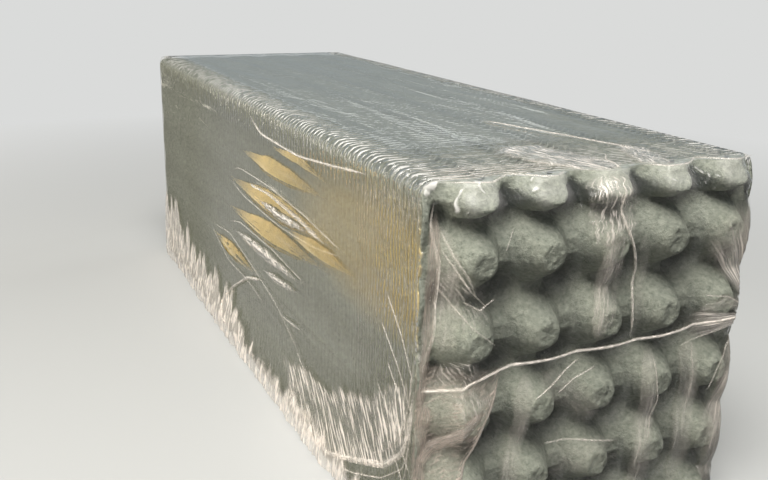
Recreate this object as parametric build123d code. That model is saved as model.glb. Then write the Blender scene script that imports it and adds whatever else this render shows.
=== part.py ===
"""Shrink-wrapped bundle of nested moulded-pulp trays lying on its side.

The trays stand upright one behind the other, so the stack runs along Y. The front tray shows its
bumps towards -Y, and a clear film goes all the way round. +Z is up, and the origin is the centre of
the bounding box on the floor.
"""
import os
from math import hypot, sqrt

from build123d import *

os.makedirs("parts", exist_ok=True)

# sizes in millimetres
tray_width = 293.0          # along X
tray_height = 291.0         # along Z
tray_corner_radius = 10.0
pulp_thickness = 2.0

tray_count = 105
nest_pitch = 7.9            # from one rim to the next
rims_per_group = 13

columns = 5
column_pitch = 55.5
rows = 6                    # the first and the last are cut by the tray's edges
row_pitch = 58.0
first_row_above_edge = 4.0

bump_base_radius = 26.0
bump_tip_radius = 12.5
bump_height = 27.0
bump_tip_round = 4.0

hollow_mouth_radius = 13.0
hollow_floor_radius = 6.0
hollow_depth = 17.0
side_hollow_offset = 22.0   # outward from the outer column
side_hollow_mouth_radius = 8.0
side_hollow_floor_radius = 4.0
side_hollow_depth = 12.0

ridge_base = 22.0           # along Z, the low ridge that joins the bumps of a row
ridge_crest = 12.0
ridge_height = 8.0

rim_band = 4.0              # width of the edge that shows round each nested tray
seat_gap = 0.3              # between a tray and what it rests on or in

film_thickness = 0.5
film_tip_margin = 3.0       # how far beside the outer tips the front film turns back
seal_height = 158.0
seal_width = 2.0
seal_proud = 1.2


def cone_along_y(x, z, y_start, y_end, r_start, r_end):
    """A cone from y_start to y_end, whatever the direction."""
    length = abs(y_end - y_start)
    way = 1 if y_end > y_start else -1
    plane = Plane(origin=(x, y_start, z), x_dir=(1, 0, 0), z_dir=(0, way, 0))
    body = Cone(r_start, r_end, length, align=(Align.CENTER, Align.CENTER, Align.MIN))
    return plane * body


def rounded_block(width, height, radius, y0, y1, z0):
    """A block with rounded long edges, from y0 to y1, standing on z0."""
    plane = Plane(origin=(0, y0, z0 + height / 2), x_dir=(1, 0, 0), z_dir=(0, 1, 0))
    return extrude(plane * RectangleRounded(width, height, radius), y1 - y0)


# places that follow from the sizes
film_floor = film_thickness + seat_gap
tray_z0 = film_floor
tray_z1 = tray_z0 + tray_height
stack_length = (tray_count - 1) * nest_pitch
column_x = [(i - (columns - 1) / 2) * column_pitch for i in range(columns)]
row_z = [tray_z1 + first_row_above_edge - j * row_pitch for j in range(rows)]
outer_column = column_x[-1]
side_hollow_x = outer_column + side_hollow_offset

# front of the rim plane is y = 0 here; all is moved to the middle at the end
film_front = -(bump_height + seat_gap + film_thickness + seal_proud)
film_back = stack_length + hollow_depth + pulp_thickness + seat_gap + film_thickness
middle = (film_front + film_back) / 2


def tray_shell():
    """One tray: rim plate, hollow bumps towards -Y, hollows between them, ridges along the rows."""
    t = pulp_thickness
    taper = (bump_base_radius - bump_tip_radius) / bump_height
    hollow_taper = (hollow_mouth_radius - hollow_floor_radius) / hollow_depth
    side_taper = (side_hollow_mouth_radius - side_hollow_floor_radius) / side_hollow_depth
    ridge_taper = (ridge_base - ridge_crest) / 2 / ridge_height
    plate = rounded_block(tray_width, tray_height, tray_corner_radius, 0, t, tray_z0)

    solids = []
    spaces = []
    for z in row_z:
        for sign, store, inset in ((0, solids, 0.0), (1, spaces, t)):
            foot = t
            crest = ridge_height - inset
            half_foot = ridge_base / 2 - inset + ridge_taper * foot
            half_crest = ridge_base / 2 - inset - ridge_taper * crest
            plane = Plane(origin=(-outer_column, 0, z), x_dir=(0, 1, 0), z_dir=(1, 0, 0))
            face = make_face(
                Polyline(
                    (foot, -half_foot),
                    (-crest, -half_crest),
                    (-crest, half_crest),
                    (foot, half_foot),
                    close=True,
                )
            )
            store.append(extrude(plane * face, 2 * outer_column))
        for x in column_x:
            bump = cone_along_y(x, z, t, -bump_height, bump_base_radius + taper * t, bump_tip_radius)
            tip = bump.edges().sort_by(Axis.Y)[0]
            solids.append(fillet(tip, bump_tip_round))
            inner_top = bump_height - t
            inner = cone_along_y(
                x, z, t, -inner_top, bump_base_radius + taper * t - t, bump_tip_radius + taper * t - t
            )
            spaces.append(inner)
    front_spaces = []
    for upper, lower in zip(row_z[:-1], row_z[1:]):
        z = (upper + lower) / 2
        for x0, x1 in zip(column_x[:-1], column_x[1:]):
            x = (x0 + x1) / 2
            solids.append(
                cone_along_y(
                    x, z, 0, hollow_depth + t, hollow_mouth_radius + t, hollow_floor_radius + t - hollow_taper * t
                )
            )
            front_spaces.append(cone_along_y(x, z, 0, hollow_depth, hollow_mouth_radius, hollow_floor_radius))
        for x in (-side_hollow_x, side_hollow_x):
            solids.append(
                cone_along_y(
                    x,
                    z,
                    0,
                    side_hollow_depth + t,
                    side_hollow_mouth_radius + t,
                    side_hollow_floor_radius + t - side_taper * t,
                )
            )
            front_spaces.append(
                cone_along_y(x, z, 0, side_hollow_depth, side_hollow_mouth_radius, side_hollow_floor_radius)
            )
    shell = plate.fuse(*solids)
    shell = shell.cut(*spaces)
    shell = shell.cut(*front_spaces)
    limits = rounded_block(
        tray_width, tray_height, tray_corner_radius, -bump_height - 1, hollow_depth + t + 1, tray_z0
    )
    return shell & limits


def save(name, shape):
    placed = shape.moved(Location((0, -middle, 0)))
    placed.label = name
    export_step(placed, f"parts/{name}.step")
    solids = placed.solids()
    print(name, len(solids), "solids", round(sum(s.volume for s in solids)), "mm3", placed.is_valid)


front_tray = tray_shell()
save("front_tray", front_tray)
save("back_tray", front_tray.moved(Location((0, stack_length, 0))))

# edges of the trays between, each one its own solid
def offset_path(points, distance):
    """The same open path moved sideways by distance, towards +Y for a path that runs along +X."""
    lines = []
    for (x0, y0), (x1, y1) in zip(points[:-1], points[1:]):
        length = hypot(x1 - x0, y1 - y0)
        nx, ny = -(y1 - y0) / length, (x1 - x0) / length
        lines.append((x0 + nx * distance, y0 + ny * distance, x1 - x0, y1 - y0))
    moved = [(lines[0][0], lines[0][1])]
    for (ax, ay, adx, ady), (bx, by, bdx, bdy) in zip(lines[:-1], lines[1:]):
        cross = adx * bdy - ady * bdx
        along = ((bx - ax) * bdy - (by - ay) * bdx) / cross
        moved.append((ax + along * adx, ay + along * ady))
    last = lines[-1]
    moved.append((last[0] + last[2], last[1] + last[3]))
    return moved


def wavy_edge(z_low, z_high, axis_z):
    """Strip along a tray's top or bottom edge, where the edge cuts a row of bumps."""
    below = abs(axis_z - (z_low + z_high) / 2)
    foot = sqrt(bump_base_radius**2 - below**2)
    tip = sqrt(bump_tip_radius**2 - below**2)
    valley = tip + (foot - tip) * (1 - ridge_height / bump_height)
    reach = outer_column + foot + 2 * pulp_thickness
    path = [(-reach, 0), (-outer_column - foot, 0)]
    for i, x in enumerate(column_x):
        if i > 0:
            path.append((x - valley, -ridge_height))
        path.append((x - tip, -bump_height))
        path.append((x + tip, -bump_height))
        if i < columns - 1:
            path.append((x + valley, -ridge_height))
    path += [(outer_column + foot, 0), (reach, 0)]
    outline = path + offset_path(path, pulp_thickness)[::-1]
    face = Plane(origin=(0, 0, z_low)) * make_face(Polyline(*outline, close=True))
    return extrude(face, z_high - z_low)


rim = rounded_block(tray_width, tray_height, tray_corner_radius, 0, pulp_thickness, tray_z0)
opening_width = tray_width - 2 * rim_band
opening_height = tray_height - 2 * rim_band
opening_radius = tray_corner_radius - rim_band
opening = rounded_block(opening_width, opening_height, opening_radius, -1, pulp_thickness + 1, tray_z0 + rim_band)
cleared = Pos(0, 0, tray_z0 + tray_height / 2) * Box(
    2 * (outer_column + bump_base_radius), 3 * pulp_thickness, 2 * tray_height
)
rim = rim - opening - cleared
outer_edge = rounded_block(tray_width, tray_height, tray_corner_radius, -bump_height - 1, nest_pitch, tray_z0)
upper_edge = wavy_edge(tray_z1 - rim_band, tray_z1, row_z[0]) & outer_edge
lower_edge = wavy_edge(tray_z0, tray_z0 + rim_band, row_z[-1]) & outer_edge
rim = rim + upper_edge + lower_edge
between = tray_count - 2
first = 1
group = 1
while first <= between:
    last = min(first + rims_per_group - 1, between)
    rims = [rim.moved(Location((0, k * nest_pitch, 0))) for k in range(first, last + 1)]
    save(f"nested_tray_rims_{group}", Compound(children=rims))
    first = last + 1
    group += 1

# hidden cells of the nested trays
core_y0 = hollow_depth + pulp_thickness + seat_gap
core_y1 = stack_length - bump_height - seat_gap
core = rounded_block(
    opening_width - 2 * seat_gap,
    opening_height - 2 * seat_gap,
    opening_radius - seat_gap,
    core_y0,
    core_y1,
    tray_z0 + rim_band + seat_gap,
)
save("nested_tray_cells", core)


def wrapped_form(offset):
    """The form that the film lies on, grown by offset on every side."""
    grow = seat_gap + offset
    half = tray_width / 2 + grow
    front_half = outer_column + bump_tip_radius + film_tip_margin + offset / 2
    back_half = side_hollow_x + side_hollow_mouth_radius + offset / 2
    back = stack_length + hollow_depth + pulp_thickness
    points = [
        (-half, -grow / 2),
        (-front_half, -bump_height - grow),
        (front_half, -bump_height - grow),
        (half, -grow / 2),
        (half, stack_length + pulp_thickness + grow / 2),
        (back_half, back + grow),
        (-back_half, back + grow),
        (-half, stack_length + pulp_thickness + grow / 2),
    ]
    z0 = tray_z0 - grow
    height = tray_height + 2 * grow
    outline = Plane(origin=(0, 0, z0)) * make_face(Polyline(*points, close=True))
    upright = extrude(outline, height)
    block = rounded_block(
        2 * half, height, tray_corner_radius + grow, -bump_height - grow - 1, back + grow + 1, z0
    )
    return upright & block


film = wrapped_form(film_thickness) - wrapped_form(0)
seal_band = Pos(0, -bump_height, seal_height) * Box(
    2 * tray_width, 2 * bump_height, seal_width, align=(Align.CENTER, Align.CENTER, Align.CENTER)
)
seal = (wrapped_form(film_thickness + seal_proud) - wrapped_form(film_thickness / 2)) & seal_band
film = film + seal
save("shrink_film", film)
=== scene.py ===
"""A bundle of nested moulded-pulp trays on its side, wrapped in clear shrink film, on a pale stage."""

import math

import bmesh
import bpy
import numpy as np
from mathutils import Matrix, Vector


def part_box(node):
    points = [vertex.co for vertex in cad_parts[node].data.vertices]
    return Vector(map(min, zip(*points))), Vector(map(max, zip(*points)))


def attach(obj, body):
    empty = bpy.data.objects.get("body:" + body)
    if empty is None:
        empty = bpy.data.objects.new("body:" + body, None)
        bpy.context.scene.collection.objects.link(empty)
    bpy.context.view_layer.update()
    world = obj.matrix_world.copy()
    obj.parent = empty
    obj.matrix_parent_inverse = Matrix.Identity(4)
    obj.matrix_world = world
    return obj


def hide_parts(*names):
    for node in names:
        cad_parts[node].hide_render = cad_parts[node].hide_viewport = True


bl_info = {
    "name": "Wrapped Tray Bundle",
    "version": (1, 0, 0),
    "blender": (4, 5, 0),
    "location": "View3D > Sidebar > Tray Bundle",
    "description": "Dresses the packed bundle: pulp trays, film with its seam and folds, and a stage",
    "category": "Object",
}

MM = 0.001
UNTINTED = (1, 1, 1)

# the film lies this far outside the trays: over their edges, and its folds on the sides and the top
FILM_GAP = 0.8 * MM
SIDE_GAP = 1.6 * MM
TOP_GAP = 0.9 * MM
HEM_HALF_LENGTH = 420 * MM

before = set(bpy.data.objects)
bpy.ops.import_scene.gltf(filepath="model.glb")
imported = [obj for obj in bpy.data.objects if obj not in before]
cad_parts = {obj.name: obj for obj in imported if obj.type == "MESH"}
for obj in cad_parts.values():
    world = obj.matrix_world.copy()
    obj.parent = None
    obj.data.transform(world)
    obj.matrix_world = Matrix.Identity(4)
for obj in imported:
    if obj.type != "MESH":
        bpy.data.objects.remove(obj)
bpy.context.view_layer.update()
tray_low, tray_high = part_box("front_tray")


def srgb(code):
    """Linear colour from an sRGB hex code."""
    parts = [int(code[i : i + 2], 16) / 255 for i in (1, 3, 5)]
    return tuple(c / 12.92 if c <= 0.04045 else ((c + 0.055) / 1.055) ** 2.4 for c in parts)


def rgba(colour):
    return (*colour[:3], 1.0)


class TrayBundleSizes(bpy.types.PropertyGroup):
    """Sizes of what can be seen of the trays and the film"""

    column_pitch: bpy.props.FloatProperty(
        name="Column pitch",
        description="Distance between columns of bumps",
        default=55.5 * MM,
        unit="LENGTH",
    )
    row_pitch: bpy.props.FloatProperty(
        name="Row pitch", description="Distance between rows of bumps", default=58.0 * MM, unit="LENGTH"
    )
    first_row_above_edge: bpy.props.FloatProperty(
        name="First row above edge",
        description="How far the axis of the cut top row lies above the tray's edge",
        default=4.0 * MM,
        unit="LENGTH",
    )
    corner_radius: bpy.props.FloatProperty(
        name="Tray corner radius",
        description="Radius of a tray's four corners",
        default=10.0 * MM,
        unit="LENGTH",
    )
    bump_height: bpy.props.FloatProperty(
        name="Bump height",
        description="How far a bump stands proud of the rim",
        default=27.0 * MM,
        unit="LENGTH",
    )
    bump_foot: bpy.props.FloatProperty(
        name="Bump foot radius",
        description="Radius of a bump at the rim plane",
        default=27.0 * MM,
        unit="LENGTH",
    )
    bump_tip: bpy.props.FloatProperty(
        name="Bump tip radius",
        description="Radius of a bump's blunt tip",
        default=10.0 * MM,
        unit="LENGTH",
    )
    hollow_depth: bpy.props.FloatProperty(
        name="Hollow depth",
        description="Depth of the hollows between bumps",
        default=19.0 * MM,
        unit="LENGTH",
    )
    ridge_height: bpy.props.FloatProperty(
        name="Ridge height",
        description="Height of the ridge along a row of bumps",
        default=8.0 * MM,
        unit="LENGTH",
    )
    pulp_thickness: bpy.props.FloatProperty(
        name="Pulp thickness", description="Wall of a moulded tray", default=2.0 * MM, unit="LENGTH"
    )
    nest_pitch: bpy.props.FloatProperty(
        name="Nest pitch",
        description="Distance from one tray's rim to the next",
        default=7.9 * MM,
        unit="LENGTH",
    )
    pleat_pitch: bpy.props.FloatProperty(
        name="Pleat pitch",
        description="Distance between the film's pleats",
        default=4.9 * MM,
        unit="LENGTH",
    )
    tray_count: bpy.props.IntProperty(
        name="Trays", description="Trays in the bundle", default=105, min=3
    )
    hem_bulge: bpy.props.FloatProperty(
        name="Hem bulge",
        description="How far the crumpled hem stands out at the foot of the long sides",
        default=8.0 * MM,
        unit="LENGTH",
    )


class TrayBundleColours(bpy.types.PropertyGroup):
    """Colours of the pulp, the film and the floor"""

    pulp: bpy.props.FloatVectorProperty(
        name="Pulp", description="Grey-green waste-paper pulp", subtype="COLOR", default=srgb("#8C9085")
    )
    pulp_pale: bpy.props.FloatVectorProperty(
        name="Pale fibres",
        description="Paler fibres in the pulp",
        subtype="COLOR",
        default=srgb("#ABAEA1"),
    )
    # only the specks use this colour; the darker hollows are painted shade in the pulp material
    pulp_dark: bpy.props.FloatVectorProperty(
        name="Dark specks",
        description="Darker specks and damp hollows",
        subtype="COLOR",
        default=srgb("#656C60"),
    )
    film_haze: bpy.props.FloatVectorProperty(
        name="Film haze",
        description="Milky look of stretched polyethylene",
        subtype="COLOR",
        default=srgb("#E9E7E4"),
    )
    side_haze: bpy.props.FloatVectorProperty(
        name="Side haze",
        description="Warmer haze of the long sides",
        subtype="COLOR",
        default=srgb("#959688"),
    )
    # painted reflection: a warm gold reflection painted into the haze of the left side
    painted_gold_reflection: bpy.props.FloatVectorProperty(
        name="Yellowed film",
        description="Warmest part of the long sides",
        subtype="COLOR",
        default=srgb("#D2BC84"),
    )
    fold_haze: bpy.props.FloatVectorProperty(
        name="Fold haze",
        description="Colour of film that lies double",
        subtype="COLOR",
        default=srgb("#EEE5DC"),
    )
    doubled_haze: bpy.props.FloatVectorProperty(
        name="Flap haze",
        description="Duller haze of the doubled flap",
        subtype="COLOR",
        default=srgb("#C4B6AB"),
    )
    # painted reflection: the flat folds' gloss is tinted gold to stand in for warm surroundings they
    # mirror
    painted_gold_gleam: bpy.props.FloatVectorProperty(
        name="Golden gleam",
        description="Tint of the flat folds' gloss",
        subtype="COLOR",
        default=srgb("#FFE19E"),
    )
    floor: bpy.props.FloatVectorProperty(
        name="Floor", description="Plain pale floor", subtype="COLOR", default=srgb("#DADBDA")
    )


class Form:
    """The bundle's main lengths in metres, read once from the CAD boxes and the panel's sizes."""

    def __init__(self):
        sizes = bpy.context.scene.tray_bundle_sizes
        self.sizes = sizes
        self.half_width = (tray_high.x - tray_low.x) / 2
        self.z0 = tray_low.z
        self.z1 = tray_high.z
        self.mid_z = (self.z0 + self.z1) / 2
        self.rim_y = tray_low.y + sizes.bump_height
        self.back_rim_y = self.rim_y + (sizes.tray_count - 1) * sizes.nest_pitch
        self.columns = [(i - 2) * sizes.column_pitch for i in range(5)]
        self.rows = [self.z1 + sizes.first_row_above_edge - j * sizes.row_pitch for j in range(6)]


def smooth(t):
    """Eases from 0 to 1, and holds outside that range."""
    t = np.clip(t, 0.0, 1.0)
    return t * t * (3 - 2 * t)


def lattice(ix, iy, seed):
    """A fixed value from -1 to 1 for each point of a square lattice, from a hash of its place."""
    across, up = ix.astype(np.int64), iy.astype(np.int64)
    h = (across * 374761393 + up * 668265263 + seed * 974634777) & 0x7FFFFFFF
    h = ((h ^ (h >> 13)) * 1274126177) & 0x7FFFFFFF
    h = (h ^ (h >> 16)) & 0xFFFF
    return h / 32767.5 - 1.0


def value_noise(u, v, seed):
    """Smooth noise from -1 to 1 over two coordinates, the same on each run."""
    fu, fv = np.floor(u), np.floor(v)
    tu, tv = smooth(u - fu), smooth(v - fv)
    a, b = lattice(fu, fv, seed), lattice(fu + 1, fv, seed)
    c, d = lattice(fu, fv + 1, seed), lattice(fu + 1, fv + 1, seed)
    return (a * (1 - tu) + b * tu) * (1 - tv) + (c * (1 - tu) + d * tu) * tv


def layered_noise(u, v, seed):
    """Three layers of smooth noise, each twice as fine and half as strong as the one before."""
    layers = [value_noise(u * 2**k, v * 2**k, seed + 17 * k) / 2**k for k in range(3)]
    return sum(layers) / 1.75


def nearest(values, pitch, first):
    """The nearest of the places that lie one pitch apart and include first."""
    return first + np.round((values - first) / pitch) * pitch


def tray_relief(form, x, z):
    """Height of a tray's face over its rim plane, towards the viewer."""
    s = form.sizes
    cx = np.clip(nearest(x, s.column_pitch, form.columns[0]), form.columns[0], form.columns[-1])
    rz = np.clip(nearest(z, s.row_pitch, form.rows[0]), form.rows[-1], form.rows[0])
    # the film presses the cut bumps of the top row down and flattens them
    pressed_down, flattening = 13 * MM, 1.25
    top = rz > form.rows[0] - 1 * MM
    r = np.hypot(x - cx, np.where(top, (z - rz + pressed_down) * flattening, z - rz))
    # straight flanks, a small round at the tip's edge and a blunt, slightly dished tip
    edge_round, tip_dish, flare, foot_share = 0.055, 0.015, 0.2, 0.4
    climb = (s.bump_foot - r) / (s.bump_foot - s.bump_tip)
    flank = np.clip(climb, 0, 1) - edge_round * np.exp(-(((climb - 1) / edge_round) ** 2)) * 0.5
    dish = tip_dish * (1 - np.clip(r / s.bump_tip, 0, 1) ** 2)
    foot = smooth(np.clip(climb, 0, 1) / flare)
    bump = s.bump_height * (flank * (foot_share + (1 - foot_share) * foot) - dish)
    # a ridge joins the bumps of a row, and sinks towards the tray's sides
    ridge_half, ridge_slope, ridge_sinks = 11.5 * MM, 6 * MM, 0.75
    out = np.clip((np.abs(x) - form.columns[-1]) / (form.half_width - form.columns[-1]), 0, 1)
    ridge_top = s.ridge_height * (1 - ridge_sinks * out)
    ridge = ridge_top * smooth((ridge_half - np.abs(z - rz)) / ridge_slope)
    # round hollows lie between four bumps, and small oval ones beside the outer columns
    side_hollow_x, side_depth, side_oval = 133 * MM, 12 * MM, 0.7
    hx = nearest(x, s.column_pitch, form.columns[0] + s.column_pitch / 2)
    hz = nearest(z, s.row_pitch, form.rows[0] - s.row_pitch / 2)
    inside = np.abs(hx) < form.columns[-1]
    hx = np.where(inside, hx, np.sign(hx) * side_hollow_x)
    mouth = np.where(inside, 19 * MM, 9.5 * MM)
    floor = np.where(inside, 6 * MM, 3.5 * MM)
    deep = np.where(inside, s.hollow_depth, side_depth)
    rh = np.hypot(x - hx, (z - hz) * np.where(inside, 1.0, side_oval))
    hollow = deep * smooth((mouth - rh) / (mouth - floor))
    face = np.maximum(bump, ridge) - hollow
    # the film's pull curls the cut bumps back along the top and bottom edges
    curl_reach, curl_depth, curl_power, curl_full = 17 * MM, 13 * MM, 1.2, 12 * MM
    to_edge = np.minimum(form.z1 - z, z - form.z0)
    curl = np.clip(1 - to_edge / curl_reach, 0, 1) ** curl_power * curl_depth
    face = face - np.clip(face / curl_full, 0, 1) * curl
    # the side edges run in waves, one to a row
    side_start, side_blend, wave_height, crest = 137 * MM, 7 * MM, 4.0 * MM, 0.6
    side = smooth((np.abs(x) - side_start) / side_blend)
    beat = np.cos(2 * np.pi * (z - hz) / s.row_pitch)
    wave = wave_height * np.clip(beat * crest + (1 - crest), 0, 1)
    return face * (1 - side) + wave * side


def film_front(form, x, z):
    """How far the front film stands off the rim plane: over the tips, slack between them."""
    s = form.sizes
    slack_depth, slack_reach, over_tip = 5.5 * MM, 30 * MM, 0.6 * MM
    cx = np.clip(nearest(x, s.column_pitch, form.columns[0]), form.columns[0], form.columns[-1])
    rz = np.clip(nearest(z, s.row_pitch, form.rows[0]), form.rows[-1], form.rows[0])
    r = np.hypot(x - cx, z - rz)
    slack = slack_depth * smooth((r - s.bump_tip) / slack_reach)
    proud = s.bump_height + over_tip - slack
    # over the cut top and bottom rows it slopes back to the edge, further between the bumps
    edge_proud, edge_beat, edge_slope = 8, 10, 17 * MM
    beat = 0.5 + 0.5 * np.cos(2 * np.pi * (x - form.columns[0]) / s.column_pitch)
    drawn = (edge_proud + edge_beat * beat) * MM
    proud = drawn + (proud - drawn) * smooth(np.minimum(form.z1 - z, z - form.z0) / edge_slope)
    # beside the outer bumps it runs back to the side edges, and sags most between two rows
    edge = form.half_width + FILM_GAP
    turn = form.columns[-1] + s.bump_tip + 2 * MM
    least_sag, more_sag = 1.5, 3.5
    t = np.clip((edge - np.abs(x)) / (edge - turn), 0, 1)
    between = np.abs(z - rz) / (s.row_pitch / 2)
    return proud * t - (least_sag + more_sag * between) * MM * np.sin(np.pi * t)


def film_back(form, x, z):
    """How far the back film stands off the back rim plane, over the hollows' floors."""
    s = form.sizes
    edge, turn = form.half_width + FILM_GAP, 140 * MM
    t = np.clip((edge - np.abs(x)) / (edge - turn), 0, 1)
    ripple = 1.2 * MM * layered_noise(x / (40 * MM), z / (60 * MM), 91)
    return s.pulp_thickness + 0.6 * MM + (s.hollow_depth + ripple) * smooth(t)


def ring_point(form, s, grow):
    """Point on a tray's rounded outline, grown outwards, for s from 0 to 1, with its outward normal."""
    a, b = form.half_width, (form.z1 - form.z0) / 2
    r = form.sizes.corner_radius
    lengths = [2 * (a - r), math.pi * r / 2, 2 * (b - r), math.pi * r / 2]
    lengths = lengths + lengths
    ends = np.cumsum([0] + lengths)
    d = (s % 1.0) * ends[-1]
    part = np.clip(np.searchsorted(ends, d, side="right") - 1, 0, 7)
    t = (d - ends[part]) / np.array(lengths)[part]
    x, z, nx, nz = np.zeros_like(d), np.zeros_like(d), np.zeros_like(d), np.zeros_like(d)
    corners = [(a - r, b - r), (a - r, -(b - r)), (-(a - r), -(b - r)), (-(a - r), b - r)]
    for k in range(4):
        start, stop = corners[(k + 3) % 4], corners[k]
        turn = math.pi / 2 - k * math.pi / 2
        side = part == 2 * k
        x[side] = start[0] + (stop[0] - start[0]) * t[side] + r * math.cos(turn)
        z[side] = start[1] + (stop[1] - start[1]) * t[side] + r * math.sin(turn)
        nx[side], nz[side] = math.cos(turn), math.sin(turn)
        bend = part == 2 * k + 1
        angle = turn - t[bend] * math.pi / 2
        nx[bend], nz[bend] = np.cos(angle), np.sin(angle)
        x[bend] = stop[0] + r * nx[bend]
        z[bend] = stop[1] + r * nz[bend]
    return x + nx * grow, z + nz * grow + form.mid_z, nx, nz


def grid_mesh(bm, across, along, place, milk=None):
    """Adds a grid and puts each of its points where place(u, v) says, with u and v from 0 to 1.

    milk(u, v) gives how milky the film is there, kept with the points.
    """
    before = len(bm.verts)
    bmesh.ops.create_grid(bm, x_segments=across, y_segments=along, size=0.5, calc_uvs=bool(milk))
    bm.verts.ensure_lookup_table()
    fresh = bm.verts[before:]
    co = np.array([v.co for v in fresh])
    u, v = np.clip(co[:, 0] + 0.5, 0, 1), np.clip(co[:, 1] + 0.5, 0, 1)
    for vert, point in zip(fresh, place(u, v)):
        vert.co = point
    if milk:
        layer = bm.verts.layers.float["milk"]
        for vert, share in zip(fresh, milk(u, v)):
            vert[layer] = share


def film_bmesh():
    """A bmesh whose points keep the film's milkiness and whose faces keep a UV map."""
    bm = bmesh.new()
    bm.loops.layers.uv.new("UVMap")
    bm.verts.layers.float.new("milk")
    return bm


def finish_piece(bm, name, material, weld=1e-6):
    """Turns a bmesh into a piece that rides on the root body."""
    if weld:
        bmesh.ops.remove_doubles(bm, verts=bm.verts, dist=weld)
    bmesh.ops.recalc_face_normals(bm, faces=bm.faces)
    mesh = bpy.data.meshes.new(name)
    bm.to_mesh(mesh)
    bm.free()
    mesh.shade_smooth()
    mesh.materials.append(material)
    piece = bpy.data.objects.new(name, mesh)
    bpy.context.scene.collection.objects.link(piece)
    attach(piece, "root")
    return piece


def add_node(tree, kind, sockets=None, **settings):
    """Adds a shader node, sets its properties, and fills or links the inputs that are given.

    A node that is given for an input is linked by its first output.
    """
    node = tree.nodes.new("ShaderNode" + kind)
    for key, value in settings.items():
        setattr(node, key, value)
    for key, value in (sockets or {}).items():
        if isinstance(value, bpy.types.Node):
            value = value.outputs[0]
        if isinstance(value, bpy.types.NodeSocket):
            tree.links.new(value, node.inputs[key])
        else:
            node.inputs[key].default_value = value
    return node


def new_material(name):
    """A material with an empty node tree, or the one that is there already and None."""
    material = bpy.data.materials.get(name)
    if material:
        return material, None
    material = bpy.data.materials.new(name)
    material.use_nodes = True
    material.node_tree.nodes.clear()
    return material, material.node_tree


def ramp(node, stops):
    """Sets a colour ramp's stops from (place, grey) pairs."""
    elements = node.color_ramp.elements
    while len(elements) < len(stops):
        elements.new(0.5)
    for element, (place, grey) in zip(elements, stops):
        element.position = place
        element.color = (grey, grey, grey, 1)
    return node


def pulp_material():
    """Moulded waste-paper pulp, vacuum formed on a mesh: matt, fibrous, lumpy, with darker specks, and
    painted shade in the hollows and the trays behind.
    """
    material, tree = new_material("moulded_pulp_vacuum_formed")
    if tree is None:
        return material
    colours = bpy.context.scene.tray_bundle_colours
    where = add_node(tree, "TexCoord").outputs["Object"]
    # a felt grain near 1 mm, fibre clumps about 4 mm, pressed lumps of 8 mm and damp patches of 40 mm
    noises = ((800, 2, 0.6), (270, 5, 0.66), (120, 3, 0.55), (24, 4, 0.6))
    grain, clumps, lumps, patches = (
        add_node(
            tree, "TexNoise", {"Vector": where, "Scale": scale, "Detail": detail, "Roughness": rough}
        )
        for scale, detail, rough in noises
    )
    pale = ramp(add_node(tree, "ValToRGB", {"Fac": clumps}), [(0.46, 0), (0.74, 1)])
    dark = ramp(add_node(tree, "ValToRGB", {"Fac": clumps}), [(0.28, 0.8), (0.44, 0)])
    damp = ramp(add_node(tree, "ValToRGB", {"Fac": patches}), [(0.35, 0.86), (0.65, 1)])
    tone = add_node(
        tree, "Mix", {0: pale, 6: rgba(colours.pulp), 7: rgba(colours.pulp_pale)}, data_type="RGBA"
    )
    specks = add_node(
        tree, "Mix", {0: dark, 6: tone.outputs[2], 7: rgba(colours.pulp_dark)}, data_type="RGBA"
    )
    # painted shade: the hollows and the trays behind the first are darkened by how far they lie behind
    # the front rim
    axes = add_node(tree, "SeparateXYZ", {"Vector": where}).outputs
    rim = Form().rim_y
    painted_depth_shade = add_node(
        tree, "MapRange", {"Value": axes["Y"], 1: rim - 4 * MM, 2: rim + 12 * MM, 3: 1.0, 4: 0.69}
    )
    colour = specks.outputs[2]
    for shade in (damp, painted_depth_shade):
        colour = add_node(
            tree, "Mix", {0: 1.0, 6: colour, 7: shade}, data_type="RGBA", blend_type="MULTIPLY"
        ).outputs[2]
    normal = add_node(tree, "Bump", {"Height": lumps, "Strength": 0.6, "Distance": 2.0 * MM})
    for height, strength, height_mm in ((clumps, 1.0, 2.4), (grain, 0.45, 0.6)):
        normal = add_node(
            tree,
            "Bump",
            {"Height": height, "Normal": normal, "Strength": strength, "Distance": height_mm * MM},
        )
    shader = add_node(
        tree,
        "BsdfPrincipled",
        {"Base Color": colour, "Normal": normal, "Roughness": 0.93, "Specular IOR Level": 0.25},
    )
    add_node(tree, "OutputMaterial", {"Surface": shader})
    return material


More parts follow.
